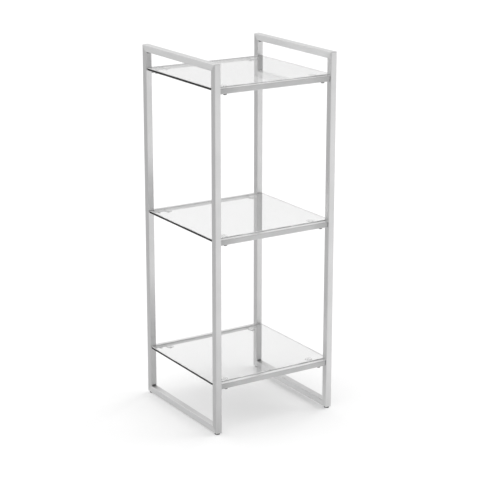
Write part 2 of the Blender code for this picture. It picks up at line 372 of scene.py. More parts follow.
def place_of(tree, coordinates="Object"):
    """Object coordinates, or the tube's own UV map."""
    if coordinates == ALONG:
        return add_node(tree, "ShaderNodeUVMap", uv_map=ALONG).outputs[0]
    return add_node(tree, "ShaderNodeTexCoord").outputs["Object"]


def effect(tree, group, place, **numbers):
    """Place a shared effect in a material with its own numbers; returns its output."""
    node = add_node(tree, "ShaderNodeGroup", node_tree=group)
    feed(tree, node.inputs["Place"], place)
    for name, number in numbers.items():
        feed(tree, node.inputs[name], number)
    return node.outputs[0]


print("UV map along the tubes:", ALONG)

# %% Vary tone and relief


def grey_between(tree, mask, dark, light):
    """Neutral colour that runs from dark to light with a mask."""
    level = remap(tree, mask, dark, light)
    colour = add_node(tree, "ShaderNodeCombineColor")
    for channel in range(3):
        feed(tree, colour.inputs[channel], level)
    return colour.outputs[0]


def bump(tree, shader, height, distance, strength):
    """Raise a surface a little by a mask."""
    node = add_node(tree, "ShaderNodeBump")
    feed(tree, node.inputs["Height"], height)
    feed(tree, node.inputs["Distance"], distance)
    feed(tree, node.inputs["Strength"], strength)
    feed(tree, shader.inputs["Normal"], node.outputs[0])


print("helpers:", [helper.__name__ for helper in (grey_between, bump)])

# %% [markdown]
# Satin steel
#
# The tubes are steel with a satin brush along their length. A polished metal would mirror the room, and
# an evenly rough one would look cast. So the streaks change tone, gloss and relief together, and the
# reflections are spread across the streaks, as fine scratches do.

# %% Brush steel
STREAK_DARK = 0.92
STREAK_LIGHT = 1.06
STREAK_GLOSS = 0.04
STREAK_DEPTH = 0.00002
STREAK_RELIEF = 0.35
STEEL_PATCH = 0.06
STEEL_HAZE = 0.05


def brushed_steel(name, grey, roughness, coordinates, length, width):
    """Steel whose streaks change its tone, its gloss and its relief."""
    material, tree, shader = new_finish(name)
    streak = effect(tree, BRUSHING, place_of(tree, coordinates), Length=length, Width=width)
    haze = effect(tree, HANDLING, place_of(tree), Patch=STEEL_PATCH)
    shader.inputs["Metallic"].default_value = 1
    streaked = grey_between(tree, streak, STREAK_DARK * grey, STREAK_LIGHT * grey)
    feed(tree, shader.inputs["Base Color"], streaked)
    gloss = remap(tree, streak, roughness - STREAK_GLOSS, roughness + STREAK_GLOSS)
    rubbed = calculate(tree, "MULTIPLY", haze, STEEL_HAZE)
    feed(tree, shader.inputs["Roughness"], calculate(tree, "ADD", gloss, rubbed))
    bump(tree, shader, streak, STREAK_DEPTH, STREAK_RELIEF)
    return material


print("streaks: tone from", STREAK_DARK, "to", STREAK_LIGHT)

# %% Mix the tube steel
TUBE_GREY = 0.74
SATIN = 0.38
STREAK_LENGTH = 0.05
STREAK_WIDTH = 0.0004
SPREAD = 0.9
QUARTER_TURN = 0.25


def satin_tube(name, grey):
    """Steel tube, brushed along its length, that spreads reflections across the brushing."""
    material = brushed_steel(name, grey, SATIN, ALONG, STREAK_LENGTH, STREAK_WIDTH)
    tree = material.node_tree
    shader = tree.nodes["Principled BSDF"]
    shader.inputs["Anisotropic"].default_value = SPREAD
    shader.inputs["Anisotropic Rotation"].default_value = QUARTER_TURN
    run = add_node(tree, "ShaderNodeTangent", direction_type="UV_MAP", uv_map=ALONG)
    feed(tree, shader.inputs["Tangent"], run.outputs[0])
    return material


TUBE_STEEL = satin_tube("tube_steel", TUBE_GREY)

print("finish:", TUBE_STEEL.name)

# %% [markdown]
# Sizes
#
# Typing a size a second time invites mistakes, so the main sizes are read from the model. Each of its
# pieces has a box, given by its lowest and its highest corner. The side of a tube is the short side of
# its box.

# %% Read sizes from the model


def box_size(node):
    """Size of a piece of the model along X, Y and Z."""
    low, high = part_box(node)
    return high - low


def box_middle(node):
    """Middle of the box of a piece of the model."""
    low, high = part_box(node)
    return (low + high) / 2


POST = box_size("left_front_post").x

print(f"posts: {1000 * POST:.1f} mm square")

# %% [markdown]
# Outlines
#
# A square tube is one outline with rounded corners, carried along a path. Blender's curves can carry
# an outline, but they pinch it at a sharp corner, so the outlines here are plain lists of points, worked
# out from arcs, and the faces between them come next.

# %% Draw outlines
POST_EDGE = 0.002
EDGE_STEPS = 6


def arc(centre, radius, start, sweep, steps):
    """Points on an arc, both ends included."""
    turns = [start + sweep * step / steps for step in range(steps + 1)]
    return [(centre[0] + radius * cos(turn), centre[1] + radius * sin(turn)) for turn in turns]


def rounded_rectangle(size_x, size_y, radius, steps):
    """Closed anticlockwise outline about the origin."""
    reach_x = size_x / 2 - radius
    reach_y = size_y / 2 - radius
    outline = []
    for quarter, (way_x, way_y) in enumerate([(1, 1), (-1, 1), (-1, -1), (1, -1)]):
        outline += arc((way_x * reach_x, way_y * reach_y), radius, quarter * pi / 2, pi / 2, steps)
    return outline


def distances_round(outline):
    """How far each point of a closed outline lies along it, with the whole length last."""
    distances = [0.0]
    for place, point in enumerate(outline):
        following = outline[(place + 1) % len(outline)]
        distances.append(distances[-1] + (Vector(following) - Vector(point)).length)
    return distances


POST_OUTLINE = rounded_rectangle(POST, POST, POST_EDGE, EDGE_STEPS)
post_round = distances_round(POST_OUTLINE)[-1]

print(f"post outline: {len(POST_OUTLINE)} points, {1000 * post_round:.1f} mm round")

# %% [markdown]
# Skins and pieces
#
# Rings of points become a tube when faces join each ring to the next. A Skin or Screw modifier would
# choose its own faces, while this way each face also gets its place on the UV map. Every finished mesh
# becomes a piece that rides on a body of the model and stands for nodes of the model.

# %% Skin a tube


def skin_run(bm, rings, axis, distances):
    """Join rings of points by faces, with U along the axis and V round the tube."""
    uv = bm.loops.layers.uv.verify()
    count = len(distances) - 1
    for ring, following in zip(rings, rings[1:]):
        for place in range(count):
            ahead = (place + 1) % count
            corners = {}
            for vert, mark in ((ring[place], place), (ring[ahead], place + 1),
                               (following[ahead], place + 1), (following[place], place)):
                corners.setdefault(vert, mark)
            if len(corners) < 3:
                continue
            face = bm.faces.new(list(corners))
            for loop in face.loops:
                loop[uv].uv = (loop.vert.co.dot(axis), distances[corners[loop.vert]])


print("helper:", skin_run.__name__)

# %% Finish a mesh and add a piece
SHARP = radians(40)


def finish_mesh(bm, name, material, sharp=SHARP):
    """Turn a bmesh into a mesh whose flat faces look flat and whose round ones look round."""
    bmesh.ops.recalc_face_normals(bm, faces=bm.faces[:])
    mesh = bpy.data.meshes.new(name)
    bm.to_mesh(mesh)
    bm.free()
    if mesh.uv_layers:
        mesh.uv_layers[0].name = ALONG
    mesh.materials.append(material)
    mesh.shade_smooth()
    mesh.set_sharp_from_angle(angle=sharp)
    return mesh


def add_piece(name, mesh, body, slot, *nodes):
    """Put a mesh in the scene as a piece that rides on a body and stands for nodes of the model."""
    piece = bpy.data.objects.new(name, mesh)
    bpy.context.scene.collection.objects.link(piece)
    even = piece.modifiers.new("even_normals", "WEIGHTED_NORMAL")
    even.keep_sharp = True
    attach(piece, body)
    if nodes:
        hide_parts(*nodes)
    print(f"{name}: {len(mesh.polygons)} faces, on {body}, for {len(nodes)} nodes")


print(f"edges sharper than {SHARP:.2f} radians stay sharp")

# %% [markdown]
# Side frames
#
# Each side frame is one closed loop of square tube, mitred at the corners, welded, and ground flush, so
# no joint shows. Four separate tubes would show their seams, so the loop is skinned in one: the outline
# stands at each corner on the 45 degree mitre and is joined round. Points near the outside follow a
# small arc, because a ground corner is never quite sharp. The UV map changes direction at the mitre, as
# the brushing does.

# %% Go round a mitred corner
CORNER_ROUND = 0.0012
CORNER_STATIONS = 4


def mitre_rings(bm, middle_x, tip, first, second):
    """Rings of points round a mitred corner; first and second point out of its two tubes."""
    inward = -first - second
    centre = tip + CORNER_ROUND * inward
    shared = {}
    rings = []
    for station in range(CORNER_STATIONS + 1):
        turn = pi / 2 * station / CORNER_STATIONS
        outward = cos(turn) * first + sin(turn) * second
        ring = []
        for place, (sideways, height) in enumerate(POST_OUTLINE):
            depth = height + POST / 2
            across = Vector((middle_x + sideways, 0, 0))
            if depth < CORNER_ROUND:
                ring.append(bm.verts.new(across + centre + (CORNER_ROUND - depth) * outward))
                continue
            if place not in shared:
                shared[place] = bm.verts.new(across + tip + depth * inward)
            ring.append(shared[place])
        rings.append(ring)
    return rings


print(f"mitred corners: {1000 * CORNER_ROUND:.1f} mm round, in {CORNER_STATIONS} steps")

# %% Skin the side frames
ENDS = ("left", "right")
LOOP_CORNERS = [(-1, -1), (1, -1), (1, 1), (-1, 1)]


def loop_mesh(name, low, high):
    """Upright loop of square tube that fills a box."""
    bm = bmesh.new()
    bm.loops.layers.uv.new(ALONG)
    corners = []
    for number, (way_y, way_z) in enumerate(LOOP_CORNERS):
        tip = Vector((0, high.y if way_y > 0 else low.y, high.z if way_z > 0 else low.z))
        outward = [Vector((0, way_y, 0)), Vector((0, 0, way_z))]
        first, second = outward if number % 2 == 0 else reversed(outward)
        corners.append(mitre_rings(bm, (low.x + high.x) / 2, tip, first, second))
    half = CORNER_STATIONS // 2
    for number, leaving in enumerate(corners):
        arriving = corners[(number + 1) % len(corners)]
        axis = Vector((0, 1, 0)) if number % 2 == 0 else Vector((0, 0, 1))
        skin_run(bm, leaving[half:] + arriving[:half + 1], axis, distances_round(POST_OUTLINE))
    return finish_mesh(bm, name, TUBE_STEEL)


for end in ENDS:
    nodes = [f"{end}_{piece}" for piece in ("front_post", "back_post", "top_rail", "bottom_rail")]
    boxes = [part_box(node) for node in nodes]
    low = Vector(min(box[0][axis] for box in boxes) for axis in range(3))
    high = Vector(max(box[1][axis] for box in boxes) for axis in range(3))
    add_piece(f"{end}_frame", loop_mesh(f"{end}_frame", low, high), "frame", "satin_steel", *nodes)

# %% [markdown]
# Setting out what repeats
#
# Rails, screws, pads and feet repeat in a plain grid: so many across, so many deep, so many levels. A
# Python loop could copy them, but one Geometry Nodes tree with named inputs keeps the rule in one place
# and serves all four. First it numbers its copies, and works out the column, row and level of each.

# %% Number the copies
SETTING_OUT = bpy.data.node_groups.new("setting_out", "GeometryNodeTree")
for socket, kind in (("Piece", "Geometry"), ("Columns", "Int"), ("Rows", "Int"), ("Levels", "Int"),
                     ("Width", "Float"), ("Depth", "Float"), ("Base", "Float"), ("Pitch", "Float"),
                     ("Back Turn", "Float"), ("Finish", "Material")):
    SETTING_OUT.interface.new_socket(socket, in_out="INPUT", socket_type=f"NodeSocket{kind}")
SETTING_OUT.interface.new_socket("Pieces", in_out="OUTPUT", socket_type="NodeSocketGeometry")
given = add_node(SETTING_OUT, "NodeGroupInput").outputs
number = add_node(SETTING_OUT, "GeometryNodeInputIndex").outputs[0]


def reckon(operation, first, second=0.0):
    """Math in the setting-out tree."""
    return calculate(SETTING_OUT, operation, first, second)


per_level = reckon("MULTIPLY", given["Columns"], given["Rows"])
total = reckon("MULTIPLY", per_level, given["Levels"])
column = reckon("MODULO", number, given["Columns"])
whole_rows = reckon("FLOOR", reckon("DIVIDE", number, given["Columns"]))
row = reckon("MODULO", whole_rows, given["Rows"])
level = reckon("FLOOR", reckon("DIVIDE", number, per_level))

print("setting-out inputs:", [socket.name for socket in given if socket.name])

# %% [markdown]
# Spots and copies
#
# The spot of each copy follows from its column, row and level. The back row can be turned round, so that
# what faces inwards at the front faces inwards at the back too. The tree could end in instances, which
# take less memory, but they get lost when a scene is exported, so it makes real geometry of them and
# gives that its material.

# %% Place the copies


def centred(place, count, spread):
    """Distance from the middle of a row for a place in it."""
    last = reckon("SUBTRACT", count, 1.0)
    off_centre = reckon("SUBTRACT", place, reckon("DIVIDE", last, 2.0))
    return reckon("MULTIPLY", reckon("DIVIDE", off_centre, reckon("MAXIMUM", last, 1.0)), spread)


spot = add_node(SETTING_OUT, "ShaderNodeCombineXYZ")
feed(SETTING_OUT, spot.inputs["X"], centred(column, given["Columns"], given["Width"]))
feed(SETTING_OUT, spot.inputs["Y"], centred(row, given["Rows"], given["Depth"]))
rise = reckon("MULTIPLY", level, given["Pitch"])
feed(SETTING_OUT, spot.inputs["Z"], reckon("ADD", rise, given["Base"]))
spots = add_node(SETTING_OUT, "GeometryNodePoints")
feed(SETTING_OUT, spots.inputs["Count"], total)
feed(SETTING_OUT, spots.inputs["Position"], spot.outputs[0])
facing = add_node(SETTING_OUT, "ShaderNodeCombineXYZ")
feed(SETTING_OUT, facing.inputs["Z"], reckon("MULTIPLY", row, given["Back Turn"]))
copies = add_node(SETTING_OUT, "GeometryNodeInstanceOnPoints")
feed(SETTING_OUT, copies.inputs["Points"], spots.outputs[0])
feed(SETTING_OUT, copies.inputs["Instance"], given["Piece"])
feed(SETTING_OUT, copies.inputs["Rotation"], facing.outputs[0])
real = add_node(SETTING_OUT, "GeometryNodeRealizeInstances")
feed(SETTING_OUT, real.inputs[0], copies.outputs[0])
finished = add_node(SETTING_OUT, "GeometryNodeSetMaterial")
feed(SETTING_OUT, finished.inputs["Geometry"], real.outputs[0])
feed(SETTING_OUT, finished.inputs["Material"], given["Finish"])
pieces_out = add_node(SETTING_OUT, "NodeGroupOutput")
feed(SETTING_OUT, pieces_out.inputs["Pieces"], finished.outputs[0])

print("setting-out tree:", len(SETTING_OUT.nodes), "nodes")

# %% [markdown]
# From tree to mesh
#
# The tree works as a modifier on one piece. It could stay there, live, but a plain mesh is easier to
# export and to check. So its inputs are set by their identifiers, the result is kept as a mesh, and the
# modifier and its object are removed.

# %% Use the tree
SOCKETS = {item.name: item.identifier for item in SETTING_OUT.interface.items_tree}


def set_out(mesh, **numbers):
    """Repeat a mesh by the setting-out tree and return the result as a plain mesh."""
    host = bpy.data.objects.new(mesh.name, mesh)
    bpy.context.scene.collection.objects.link(host)
    modifier = host.modifiers.new("setting_out", "NODES")
    modifier.node_group = SETTING_OUT
    for name, value in numbers.items():
        modifier[SOCKETS[name.replace("_", " ")]] = value
    graph = bpy.context.evaluated_depsgraph_get()
    baked = bpy.data.meshes.new_from_object(host.evaluated_get(graph))
    host.modifiers.remove(modifier)
    bpy.data.objects.remove(host)
    baked.name = f"{mesh.name}_set"
    return baked


print("identifiers:", SOCKETS)

# %% [markdown]
# Rail steel
#
# The cross rails are the same satin steel as the frames, painted a little darker as shade near the
# glass.
# Their ends are darker still, as painted shade where they meet the posts, and their tops are lighter, as
# painted light from above, and smoother, as the cloth that wipes the glass leaves them. Both are masks
# on the same finish, one along the UV map and one by the way a face looks, so no second material is
# needed.

# %% Paint shade on the ends of the rails
# Painted shade: the rails' grey is a little darker than the frames', for the shade near the glass.
SHADED_RAIL_GREY = 0.7
RAIL_LENGTH = box_size("low_front_rail").x
# How far the painted shade at the rail ends reaches, and how dark it gets.
END_SHADE_REACH = 0.045
END_SHADE_DARKEST = 0.8


def scale_colour(material, factor):
    """Multiply the colour of a finish by a mask."""
    tree = material.node_tree
    colour = tree.nodes["Principled BSDF"].inputs["Base Color"]
    scaled = add_node(tree, "ShaderNodeVectorMath", operation="SCALE")
    feed(tree, scaled.inputs[0], colour.links[0].from_socket)
    feed(tree, scaled.inputs["Scale"], factor)
    feed(tree, colour, scaled.outputs[0])


def shade_rail_ends(material, half_length):
    """Paint shade on the last stretch of a tube towards each end, by darkening its colour."""
    tree = material.node_tree
    run = add_node(tree, "ShaderNodeSeparateXYZ")
    feed(tree, run.inputs[0], place_of(tree, ALONG))
    from_middle = calculate(tree, "ABSOLUTE", run.outputs["X"])
    # Painted shade: the colour darkens towards each end, where the rail meets a post.
    scale_colour(material, remap(tree, from_middle, 1.0, END_SHADE_DARKEST, half_length - END_SHADE_REACH, half_length))


RAIL_STEEL = satin_tube("rail_steel", SHADED_RAIL_GREY)
# Painted shade at both ends of each rail.
shade_rail_ends(RAIL_STEEL, RAIL_LENGTH / 2)

print(f"rails: {1000 * RAIL_LENGTH:.1f} mm long, duller over the last {1000 * END_SHADE_REACH:.0f} mm")

# %% Paint light on the tops of the rails and make them smoother
# The tops get painted light from above as a brighter colour, and a lower roughness.
TOP_PAINTED_LIGHT = 1.32
RUBBED_SMOOTHER = 0.5
FACING_UP_FROM = 0.2
FACING_UP_FULL = 0.8


def light_and_smooth_tops(material):
    """Paint light on what faces up by brightening its colour, and make it smoother."""
    tree = material.node_tree
    roughness = tree.nodes["Principled BSDF"].inputs["Roughness"]
    facing = add_node(tree, "ShaderNodeSeparateXYZ")
    feed(tree, facing.inputs[0], add_node(tree, "ShaderNodeNewGeometry").outputs["Normal"])
    rubbed = remap(tree, facing.outputs["Z"], 0.0, 1.0, FACING_UP_FROM, FACING_UP_FULL)
    # Painted light: the colour of faces that look up is brightened; the same mask also makes them
    # smoother.
    scale_colour(material, remap(tree, rubbed, 1.0, TOP_PAINTED_LIGHT))
    smoother = remap(tree, rubbed, 1.0, RUBBED_SMOOTHER)
    feed(tree, roughness, calculate(tree, "MULTIPLY", roughness.links[0].from_socket, smoother))


light_and_smooth_tops(RAIL_STEEL)

print("finish:", RAIL_STEEL.name, "with", len(RAIL_STEEL.node_tree.nodes), "nodes")

# %% [markdown]
# Cross rails
#
# A cross rail is a straight length of a thinner square tube, cut off square, that slips over a stub on
# the post at each end. A hollow look could be faked with a dark end, but the ends show in some views, so
# one tube is skinned with its bore. The tree sets out the six: one across, two deep, three levels.

# %% Skin one rail
RAIL = box_size("low_front_rail").z
RAIL_EDGE = 0.0015
RAIL_WALL = 0.001
RAIL_DEBURR = 0.0003


def rail_mesh():
    """Open square tube along X about the origin."""
    bm = bmesh.new()
    bm.loops.layers.uv.new(ALONG)
    bore = RAIL - 2 * RAIL_WALL
    outer = rounded_rectangle(RAIL, RAIL, RAIL_EDGE, EDGE_STEPS)
    lip = rounded_rectangle(RAIL - RAIL_DEBURR, RAIL - RAIL_DEBURR, RAIL_EDGE, EDGE_STEPS)
    inner = rounded_rectangle(bore, bore, RAIL_EDGE - RAIL_WALL, EDGE_STEPS)
    half = RAIL_LENGTH / 2
    stations = [(outer, RAIL_DEBURR - half), (outer, half - RAIL_DEBURR), (lip, half), (inner, half)]
    stations += [(inner, -half), (lip, -half)]
    rings = [[bm.verts.new((x, y, z)) for y, z in outline] for outline, x in stations]
    skin_run(bm, rings + rings[:1], Vector((1, 0, 0)), distances_round(outer))
    return finish_mesh(bm, "cross_rail", RAIL_STEEL)


one_rail = rail_mesh()

print(f"one rail: {len(one_rail.polygons)} faces, {1000 * RAIL:.1f} mm square")

# %% Set out six rails
LEVELS = ("low", "mid", "top")
SIDES = ("front", "back")
RAIL_LINE_Y = box_middle("low_back_rail").y
LOW_RAIL_Z = box_middle("low_front_rail").z
SHELF_PITCH = box_middle("mid_front_rail").z - LOW_RAIL_Z

rails = set_out(one_rail, Columns=1, Rows=2, Levels=3, Width=0.0, Depth=2 * RAIL_LINE_Y,
                Base=LOW_RAIL_Z, Pitch=SHELF_PITCH, Back_Turn=pi, Finish=RAIL_STEEL)
rail_nodes = [f"{level}_{side}_rail" for level in LEVELS for side in SIDES]
add_piece("cross_rails", rails, "frame", "satin_steel", *rail_nodes)

# %% [markdown]
# Stubs
#
# Inside each rail end is a stub of the post, on which the rail slips and into which its screw goes. New
# meshes could be made for the stubs, but they hardly show, and the model's own shapes are good enough.
# They only get a plainer steel of their own.

# %% Finish the stubs
STUB_GREY = 0.5
STUB_ROUGHNESS = 0.4
CORNERS = [f"{level}_{side}_{end}" for level in LEVELS for side in SIDES for end in ENDS]

STUB_STEEL = brushed_steel("stub_steel", STUB_GREY, STUB_ROUGHNESS, "Object", length=0.03, width=0.0006)
for corner in CORNERS:
    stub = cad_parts[f"{corner}_spigot"]
    stub.data.materials.clear()
    stub.data.materials.append(STUB_STEEL)

print("stubs finished:", len(CORNERS))

# %% [markdown]
# Turned and combined shapes
#
# Screws, pads and feet are round, so they are turned from a profile, like work on a lathe. A Screw
# modifier could do the same, but points worked out here need no merging afterwards. Where two shapes
# meet, a Boolean cuts or joins them, and slivers that it leaves are cleared away.

# %% Turn a profile
TURNED_STEPS = 40


def turned(profile, steps=TURNED_STEPS):
    """Turn a profile of (radius, height) points, from the bottom up, about Z."""
    bm = bmesh.new()
    rings = []
    for radius, height in profile:
        circle = arc((0, 0), radius, 0, 2 * pi, steps)[:-1]
        rings.append([bm.verts.new((x, y, height)) for x, y in circle])
    for ring, following in zip(rings, rings[1:]):
        for place in range(steps):
            bm.faces.new((ring[place - 1], ring[place], following[place], following[place - 1]))
    bm.faces.new(rings[0][::-1])
    bm.faces.new(rings[-1])
    return bm


print("steps round a turned piece:", TURNED_STEPS)

# %% Combine two shapes
SLIVER = 0.00001


def combine(operation, mesh, tool):
    """Boolean of two meshes as a new mesh, cleared of slivers without area."""
    work = bpy.data.objects.new(mesh.name, mesh)
    helper = bpy.data.objects.new(tool.name, tool)
    for piece in (work, helper):
        bpy.context.scene.collection.objects.link(piece)
    step = work.modifiers.new("step", "BOOLEAN")
    step.operation = operation
    step.object = helper
    graph = bpy.context.evaluated_depsgraph_get()
    made = bpy.data.meshes.new_from_object(work.evaluated_get(graph))
    for piece in (work, helper):
        bpy.data.objects.remove(piece)
    bm = bmesh.new()
    bm.from_mesh(made)
    bmesh.ops.dissolve_degenerate(bm, dist=SLIVER, edges=bm.edges[:])
    bm.to_mesh(made)
    bm.free()
    made.set_sharp_from_angle(angle=SHARP)
    return made


print(f"slivers under {1000 * SLIVER:.2f} mm are cleared")

# %% [markdown]
# Screws
#
# One pan-head screw comes up through the underside of each rail end. A plain disc would do from afar,
# but the heads catch the light, so the head is turned with a round rim and a cross is cut into it. The
# tree sets out the twelve: two across, two deep, three levels.

# %% Shape the cross
SCREW_GREY = 0.3
SCREW_ROUGHNESS = 0.28
CROSS_LENGTH = 0.0046
CROSS_WIDTH = 0.0011
CROSS_DEPTH = 0.0016
CROSS_TAPER = 0.55

SCREW_STEEL = brushed_steel("screw_head_steel", SCREW_GREY, SCREW_ROUGHNESS, "Object",
                            length=0.002, width=0.0003)


def cross_cutter():
    """Two crossed bars that narrow upwards, for a driver's cross."""
    bm = bmesh.new()
    for long_x, long_y in ((CROSS_LENGTH, CROSS_WIDTH), (CROSS_WIDTH, CROSS_LENGTH)):
        for vert in bmesh.ops.create_cube(bm, size=1)["verts"]:
            taper = CROSS_TAPER if vert.co.z > 0 else 1
            vert.co = Vector((vert.co.x * long_x * taper, vert.co.y * long_y * taper,
                              vert.co.z * 2 * CROSS_DEPTH))
    return finish_mesh(bm, "cross_cutter", SCREW_STEEL)


print("finish:", SCREW_STEEL.name)

# %% Turn one screw
SCREW_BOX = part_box("low_front_right_screw")
HEAD = 0.004
HEAD_HEIGHT = 0.0028
HEAD_ROUND = 0.0016
HEAD_MIDDLE = 0.0004
SHANK = 0.002


def screw_mesh():
    """Pan head at the bottom, shank above it."""
    length = SCREW_BOX[1].z - SCREW_BOX[0].z
    profile = [(HEAD_MIDDLE, 0)]
    profile += arc((HEAD - HEAD_ROUND, HEAD_ROUND), HEAD_ROUND, -pi / 2, pi / 2, EDGE_STEPS)
    profile += [(HEAD, HEAD_HEIGHT), (SHANK, HEAD_HEIGHT), (SHANK, length)]
    screw = finish_mesh(turned(profile), "rail_screw", SCREW_STEEL)
    return combine("DIFFERENCE", screw, cross_cutter())


one_screw = screw_mesh()

print("one screw:", len(one_screw.polygons), "faces")

# %% Set out twelve screws
SCREW_X = box_middle("low_front_right_screw").x

screws = set_out(one_screw, Columns=2, Rows=2, Levels=3, Width=2 * SCREW_X, Depth=2 * RAIL_LINE_Y,
                 Base=SCREW_BOX[0].z, Pitch=SHELF_PITCH, Back_Turn=pi, Finish=SCREW_STEEL)
add_piece("rail_screws", screws, "frame", "screw_steel", *[f"{corner}_screw" for corner in CORNERS])

# %% [markdown]
# Clear plastic and clear glass
#
# Pads and panels are both clear. A Principled shader with full transmission bends the light as they do,
# but it also blocks the lamp, and the floor below would be black. So a Transparent shader with a slight
# tint takes over for rays that look for a lamp. Faint smears of handling vary the gloss.

# %% Mix the clear finishes
PAD_GREY = 0.9
PAD_TINT = 0.85
PAD_IOR = 1.3
GLASS_GREY = 0.85
GLASS_TINT = 0.91
GLASS_IOR = 1.52


def clear_finish(name, grey, ior, tint, smoothest, roughest, patch):
    """Clear glass or plastic with faint smears in its gloss, which lets the lamp through."""
    material, tree, shader = new_finish(name)
    haze = effect(tree, HANDLING, place_of(tree), Patch=patch)
    shader.inputs["Base Color"].default_value = (grey, grey, grey, 1)
    shader.inputs["Transmission Weight"].default_value = 1
    shader.inputs["IOR"].default_value = ior
    feed(tree, shader.inputs["Roughness"], remap(tree, haze, smoothest, roughest))
    to_lamp = add_node(tree, "ShaderNodeLightPath").outputs["Is Shadow Ray"]
    tinted = add_node(tree, "ShaderNodeBsdfTransparent")
    tinted.inputs["Color"].default_value = (tint, tint, tint, 1)
    look = mix_shaders(tree, to_lamp, shader.outputs[0], tinted.outputs[0])
    feed(tree, tree.nodes["Material Output"].inputs["Surface"], look)
    return material


PAD_PLASTIC = clear_finish("pad_plastic", PAD_GREY, PAD_IOR, PAD_TINT,
                           smoothest=0.06, roughest=0.16, patch=0.005)
SHEET_GLASS = clear_finish("sheet_glass", GLASS_GREY, GLASS_IOR, GLASS_TINT,
                           smoothest=0.0, roughest=0.006, patch=0.12)

print("finishes:", PAD_PLASTIC.name, SHEET_GLASS.name)

# %% [markdown]
# Clear pads
#
# The glass lies on soft clear discs, seen only as faint rings through it. Each disc sits on a pin that
# plugs into the inner face of a rail, with a collar against the steel. Disc and pin could stay two
# meshes, but in a clear piece any hidden wall would show, so a Boolean joins them. The disc is a little
# dished on top.

# %% Turn the disc
PAD_RADIUS = box_size("low_front_left_pad").x / 2
PAD = 0.0015
PAD_FOOT = 0.0004
PAD_RIM = 0.0005
LIP_IN = 0.0025
DISH_IN = 0.0032
DISH = 0.0004
DISH_MIDDLE = 0.0005


def disc_mesh():
    """Dished disc with its underside on Z = 0."""
    profile = [(PAD_RADIUS - PAD_FOOT, 0), (PAD_RADIUS, PAD_FOOT), (PAD_RADIUS, PAD - PAD_RIM)]
    profile += [(PAD_RADIUS - PAD_RIM, PAD), (PAD_RADIUS - LIP_IN, PAD)]
    profile += [(PAD_RADIUS - DISH_IN, PAD - DISH), (DISH_MIDDLE, PAD - DISH)]
    return finish_mesh(turned(profile), "glass_pad", PAD_PLASTIC)


disc = disc_mesh()

print(f"disc: {len(disc.polygons)} faces, {1000 * PAD_RADIUS:.1f} mm in radius")

# %% Turn the pin
PAD_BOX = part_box("low_front_left_pad")
PAD_MIDDLE_Y = PAD_BOX[1].y - PAD_RADIUS
PIN_RADIUS = 0.002
PIN_BEVEL = 0.0005
PIN_DROP = 0.0012
PIN_TAIL = PAD_BOX[0].y - PAD_MIDDLE_Y
PIN_TIP = 0.004
PIN_STEPS = 24
COLLAR_RADIUS = 0.0027
COLLAR = 0.001
COLLAR_GAP = 0.0003
COLLAR_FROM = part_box("low_front_rail")[1].y - PAD_MIDDLE_Y + COLLAR_GAP


def pin_mesh():
    """Pin with a collar, lying along Y with its tail towards -Y."""
    profile = [(PIN_RADIUS - PIN_BEVEL, PIN_TAIL), (PIN_RADIUS, PIN_TAIL + PIN_BEVEL)]
    profile += [(PIN_RADIUS, COLLAR_FROM), (COLLAR_RADIUS, COLLAR_FROM)]
    profile += [(COLLAR_RADIUS, COLLAR_FROM + COLLAR), (PIN_RADIUS, COLLAR_FROM + COLLAR)]
    profile += [(PIN_RADIUS, PIN_TIP - PIN_BEVEL), (PIN_RADIUS - PIN_BEVEL, PIN_TIP)]
    pin = turned(profile, PIN_STEPS)
    pin.transform(Matrix.Translation((0, 0, -PIN_DROP)) @ Matrix.Rotation(-pi / 2, 4, "X"))
    return finish_mesh(pin, "pin", PAD_PLASTIC)


pin = pin_mesh()

print("pin:", len(pin.polygons), "faces")

# %% Join them and set out twelve pads
PAD_X = box_middle("low_front_left_pad").x

pads = set_out(combine("UNION", disc, pin), Columns=2, Rows=2, Levels=3, Width=-2 * PAD_X,
               Depth=-2 * PAD_MIDDLE_Y, Base=PAD_BOX[1].z - PAD, Pitch=SHELF_PITCH, Back_Turn=pi,
               Finish=PAD_PLASTIC)
add_piece("glass_pads", pads, "frame", "clear_plastic", *[f"{corner}_pad" for corner in CORNERS])

# %% [markdown]
# Dark plastic
#
# The feet are moulded plastic. A smooth black would lose their shape in the shadow, so the finish is a
# dark grey with a fine moulded grain and patches that the floor has rubbed.

# %% Mix the dark plastic
PLASTIC_GREY = 0.09
PLASTIC_DARK = 0.85
PLASTIC_LIGHT = 1.3
PLASTIC_PATCH = 0.006
PLASTIC_GLOSS = (0.45, 0.6)
GRAINS_PER_METRE = 2500.0
GRAIN_DETAIL = 1.0
GRAIN_DEPTH = 0.00003
GRAIN_RELIEF = 0.4

GLIDE_PLASTIC, tree, shader = new_finish("glide_plastic")
haze = effect(tree, HANDLING, place_of(tree), Patch=PLASTIC_PATCH)
patched = grey_between(tree, haze, PLASTIC_DARK * PLASTIC_GREY, PLASTIC_LIGHT * PLASTIC_GREY)
feed(tree, shader.inputs["Base Color"], patched)
feed(tree, shader.inputs["Roughness"], remap(tree, haze, *PLASTIC_GLOSS))
grain = noise(tree, place_of(tree), GRAINS_PER_METRE, GRAIN_DETAIL)
bump(tree, shader, grain, GRAIN_DEPTH, GRAIN_RELIEF)

print("finish:", GLIDE_PLASTIC.name)

# %% [markdown]
# Feet
#
# A small glide under each post keeps the steel off the floor. A cylinder would meet the floor in a hard
# edge, so it is turned with a rounded rim and a slight hollow underneath. The tree sets out four: two
# across, two deep, one level.

# %% Turn one glide and set out four
GLIDE_RADIUS = box_size("right_back_glide").x / 2
GLIDE_MIDDLE = box_middle("right_back_glide")
GLIDE_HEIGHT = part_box("left_bottom_rail")[0].z
GLIDE_ROUND = 0.001
GLIDE_RIM = 0.0004
HOLLOW = 0.0002
HOLLOW_MIDDLE = 0.001
HOLLOW_RADIUS = 0.003


